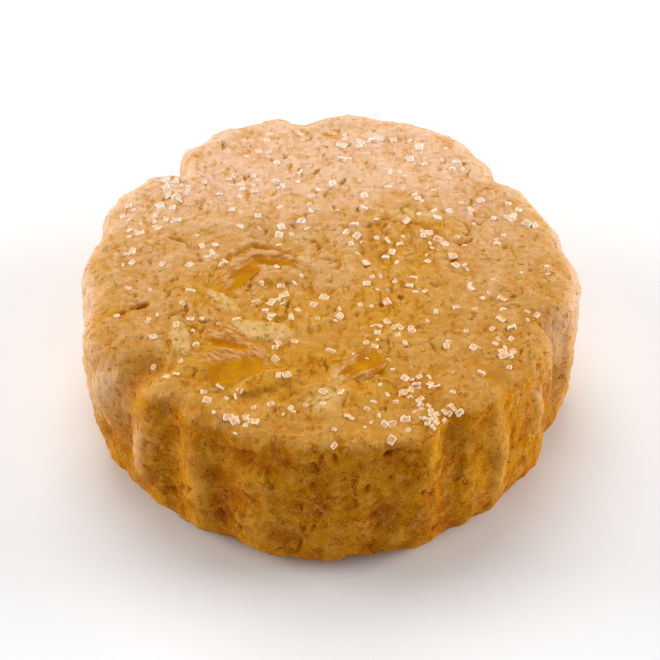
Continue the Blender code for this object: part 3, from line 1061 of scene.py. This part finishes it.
def dough_places(m):
    """How far back, in front, behind, beside and high up a point of the dough is."""
    x, y, z = m.parts()
    drift = m.times(m.math("SUBTRACT", m.noise(7.0, 2.0), 0.5), 12 * MM)
    back = m.plus(m.plus(y, drift), m.times(x, -0.08))
    level = m.plus(z, m.times(drift, 0.3))
    # far: the paler, pinker dough and sugar towards the back are painted light from behind.
    far = m.spread(back, -24 * MM, 24 * MM)
    side = m.spread(back, -24 * MM, 4 * MM)
    low = m.spread(level, 13.5 * MM, 17.5 * MM, 1.0, 0.0)
    behind = m.times(m.spread(back, 1 * MM, 10 * MM), low)
    beside = m.times(side, m.spread(level, 1 * MM, 15 * MM, 0.4, 1.0))
    high = m.spread(z, 10 * MM, 16.5 * MM)
    return far, side, behind, beside, high


def crumbed_top(m, far, height):
    # Grain tops lightened as painted highlight, paler and pinker at the far side as painted backlight.
    light = m.mix(far, shade(238, 186, 104), shade(252, 222, 198))
    return crumb_texture(m, top_colour(m, far), height, 0.7, shade(206, 130, 14), 0.6, light)


def crumbed_wall(m, beside, behind, high, height, fine):
    brown = wall_colour(m, beside, behind, high)
    brown = crumb_texture(m, brown, height, 0.6, shade(164, 88, 0), 0.5, shade(232, 168, 40))
    # The fine noise that bumps the grain also colours it: partly the crumb's own flecks, partly painted
    # highlight and shade.
    brown = m.mix(m.spread(fine, 0.52, 0.68, 0.0, 0.4), brown, shade(236, 180, 70))
    return m.mix(m.spread(fine, 0.32, 0.46, 0.4, 0.0), brown, shade(134, 66, 0))


# What cracks, hollows and dark marks multiply the dough's colour by: painted shade, weaker at the far
# side as painted backlight.
NEAR_SHADE_TINT = (0.90, 0.73, 0.06, 1.0)
FAR_SHADE_TINT = (0.96, 0.83, 0.28, 1.0)
WALL_SHADE_TINT = (0.86, 0.60, 0.20, 1.0)
PAINTED_SHADE_TINT = (0.73, 0.50, 0.12, 1.0)


def marked(m, colour, side):
    """The wall marks' painted highlight (pale) and painted shade (dark) laid over its colour."""
    ragged = m.spread(m.noise(0.9, 3.0, 0.6), 0.3, 0.6, 0.35, 1.0)
    pale = m.times(m.spread(m.layer("tone"), 0.5, 1.0, 0.0, 0.85), ragged)
    painted_shade = m.times(m.spread(m.layer("tone"), 0.0, 0.5, 0.85, 0.0), ragged)
    painted_highlight = m.mix(m.spread(side, 0.0, 0.28), shade(232, 170, 76), shade(234, 194, 156))
    return m.mix(painted_shade, m.mix(pale, colour, painted_highlight), PAINTED_SHADE_TINT, "MULTIPLY")


def hairlines(m):
    """Hairline cracks and the pits between crumbs, drawn in colour only: the painted shade at their
    edges, and their cores.
    """
    wide, wide_open = crack_lines(m, 2.2, (1.0, 0.8, 1.0), 0.0)
    close, close_open = crack_lines(m, 1.2, (1.1, 0.9, 1.0), 40.0)
    halo = m.either(open_crack(m, wide, wide_open, 0.26), open_crack(m, close, close_open, 0.30))
    core = m.either(open_crack(m, wide, wide_open, 0.07), open_crack(m, close, close_open, 0.08))
    pits = m.either(crumb_pits(m, 1.2, (1.5, 0.7, 0.8), 0.63), crumb_pits(m, 0.6, (1.2, 0.9, 1.0), 0.69))
    return m.either(halo, m.times(pits, m.spread(m.layer("wall"), 0.0, 1.0, 1.0, 0.45))), core


def cracked(m, colour, far, halo, core):
    """The dough's colour with painted shade in its cracks, hollows and between its lumps, and its
    specks.
    """
    shade_tint = m.mix(m.spread(far, 0.35, 0.95), NEAR_SHADE_TINT, FAR_SHADE_TINT)
    shade_tint = m.mix(m.layer("wall"), shade_tint, WALL_SHADE_TINT)
    hollow = m.layer("hollow")
    # Lower crumb between the lumps darkened: painted shade.
    colour = m.mix(m.spread(m.layer("raised"), 0.22, 0.46, 0.32, 0.0), colour, shade_tint, "MULTIPLY")
    colour = m.mix(m.spread(hollow, 0.0, 0.5, 0.0, 0.95), colour, shade_tint, "MULTIPLY")
    # Deep cracks turn red-brown: painted shade.
    colour = m.mix(m.spread(hollow, 0.62, 0.85, 0.0, 0.9), colour, shade(146, 52, 4))
    colour = m.mix(m.times(halo, 0.9), colour, shade_tint, "MULTIPLY")
    colour = m.mix(m.times(core, 0.5), colour, shade_tint, "MULTIPLY")
    return m.mix(m.spread(m.cells(2.6), 0.04, 0.065, 0.6, 0.0), colour, shade(110, 58, 14))


def dough_material():
    m = Nodes("baked_dough")
    far, side, behind, beside, high = dough_places(m)
    crumb = m.noise(0.7, 5.0, 0.75)
    fine = m.noise(0.2, 3.0, 0.7)
    # Heights from the bump's noises and the raised crumb, which the colour follows as painted shade and
    # highlight.
    height = m.plus(m.times(crumb, 0.4), m.times(fine, 0.4))
    height = m.plus(height, m.times(m.layer("raised"), 0.2))
    wall = crumbed_wall(m, beside, behind, high, height, fine)
    colour = m.mix(m.layer("wall"), crumbed_top(m, far, height), wall)
    halo, core = hairlines(m)
    colour = cracked(m, marked(m, colour, side), far, halo, core)
    grain = m.bump(fine, 0.10, onto=m.bump(crumb, 0.20))
    cut = m.bump(m.math("SUBTRACT", 1.0, halo), 0.12, onto=grain)
    return m.finish(colour, cut, rough=0.65, shine=0.03, glow=0.3, radius=(1.0, 0.5, 0.15), scale=0.4)


def ginger_material(name, fibre_turn):
    """Amber where the slice is smooth and low, dough-coloured fibrous flesh on its crests."""
    m = Nodes(name)
    fibres = m.noise(0.4, 3.0, 0.6, stretch=(0.35, 1.0, 1.0), distortion=0.5, turn=fibre_turn)
    blotch = m.spread(m.noise(1.6, 3.0), 0.4, 0.62)
    amber = m.mix(blotch, shade(206, 138, 0), shade(190, 118, 0))
    flesh = m.mix(m.spread(fibres, 0.38, 0.62), shade(180, 112, 36), shade(216, 160, 96))
    crest = m.plus(m.layer("crest"), m.times(m.math("SUBTRACT", fibres, 0.5), 0.5))
    tone = m.mix(m.spread(crest, 0.42, 0.66), amber, flesh)
    tone = m.mix(m.spread(crest, 0.72, 0.95, 0.0, 0.6), tone, shade(228, 178, 122))
    bumps = m.bump(fibres, 0.08)
    return m.finish(tone, bumps, rough=0.45, shine=0.04, glow=0.3, radius=(1.0, 0.45, 0.05), scale=0.6)


def sugar_material():
    """Cloudy crystals with brighter worn edges as painted highlight, whiter at the far side as painted
    backlight, and a faint emission as painted glow.
    """
    m = Nodes("granulated_sugar")
    far = m.spread(m.parts()["Y"], -12 * MM, 20 * MM)
    cloud = m.spread(m.noise(0.4, 2.0), 0.4, 0.65)
    near_tone = m.mix(cloud, shade(222, 166, 106), shade(242, 202, 156))
    far_tone = m.mix(cloud, shade(238, 196, 166), shade(250, 222, 204))
    edges = m.mix(far, shade(255, 228, 198), shade(255, 238, 224))
    tone = m.mix(m.layer("worn_edge_highlight"), m.mix(far, near_tone, far_tone), edges)
    # A faint emission stands in for light passing through the crystals: painted glow.
    m.feed(m.shader.inputs, {"Emission Color": tone, "Emission Strength": 0.06})
    bumps = m.bump(m.noise(0.3), 0.03)
    return m.finish(tone, bumps, rough=0.3, shine=0.15, glow=0.5, radius=(0.8, 1.0, 1.0), scale=0.2)


# ------ setting

CAMERA_RISE = 45.8          # degrees above the horizon
CAMERA_AWAY = 0.2912
CAMERA_AIM = (0.00012, 0.0001, 0.00925)
SENSOR = 36.0
LENS = 141.818
LENS_SHIFT = (-0.001515, -0.007576)
FLOOR_REACH = 2.0
FLOOR_GAP = 0.0001          # how far the floor lies below the base
WORLD_LIGHT = 0.34
# Name, place, size and power of each light.
LIGHTS = (
    ("top_back", (-0.05, 0.30, 0.55), 0.45, 1.85),
    ("left_side", (-0.5, 0.08, 0.16), 0.3, 1.9),
    ("right_side", (0.5, 0.06, 0.16), 0.3, 1.95),
)


def make_camera():
    data = bpy.data.cameras.new("camera")
    data.sensor_width = SENSOR
    data.lens = LENS
    data.clip_start = 0.01
    data.shift_x, data.shift_y = LENS_SHIFT
    camera = add_object("camera", data)
    rise = math.radians(CAMERA_RISE)
    back = Vector((0, -math.cos(rise), math.sin(rise)))
    camera.location = Vector(CAMERA_AIM) + back * CAMERA_AWAY
    camera.rotation_euler = (-back).to_track_quat("-Z", "Y").to_euler()
    bpy.context.scene.camera = camera


def area_light(name, place, size, power):
    data = bpy.data.lights.new(name, "AREA")
    data.shape = "DISK"
    data.size = size
    data.energy = power
    light = add_object(name, data)
    light.location = place
    light.rotation_euler = (-Vector(place)).to_track_quat("-Z", "Y").to_euler()


def make_floor():
    net = bmesh.new()
    bmesh.ops.create_grid(net, x_segments=1, y_segments=1, size=FLOOR_REACH)
    bmesh.ops.translate(net, verts=net.verts[:], vec=(0, 0, -FLOOR_GAP))
    mesh = finish_net(net, "floor")
    floor = add_object("floor", mesh)
    m = Nodes("pale_floor")
    tone = m.mix(m.spread(m.noise(300.0), 0.3, 0.7), (0.93, 0.93, 0.93, 1), (0.95, 0.95, 0.95, 1))
    m.feed(m.shader.inputs, {"Base Color": tone, "Roughness": 0.8})
    mesh.materials.append(m.material)


def make_lights():
    world = bpy.data.worlds.new("studio")
    world.use_nodes = True
    sky = world.node_tree.nodes["Background"]
    sky.inputs["Color"].default_value = (1, 1, 1, 1)
    sky.inputs["Strength"].default_value = WORLD_LIGHT
    bpy.context.scene.world = world
    for name, place, size, power in LIGHTS:
        area_light(name, place, size, power)
    bpy.context.scene.view_settings.view_transform = "Standard"


# ------ assembly

def box_middle(points):
    """Middle of the plan of some points, in millimetres."""
    low, high = points.min(axis=0), points.max(axis=0)
    return (low[0] + high[0]) / 2, (low[1] + high[1]) / 2


def put(name, mesh, middle, material, node=None):
    """Place a mesh made in millimetres in the frame, with the biscuit's middle at the origin."""
    shift = Matrix.Translation((-middle[0] * MM, -middle[1] * MM, 0))
    mesh.transform(shift @ Matrix.Scale(MM, 4))
    mesh.materials.append(material)
    piece = add_object(name, mesh)
    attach(piece, "root")
    if node:
        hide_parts(node)


def main():
    dough, points, middle = make_dough()
    sugar = make_sugar(points, mesh_vectors(dough, "normal"))
    put("shortbread_dough", dough, middle, dough_material(), "biscuit")
    put("sugar_crystals", sugar, middle, sugar_material())
    for name, sizes in GINGER.items():
        flesh = ginger_material("stem_" + name, FIBRE_TURNS[name])
        put("baked_" + name, make_ginger(name, sizes), middle, flesh, name)
    make_floor()
    make_lights()
    make_camera()


main()
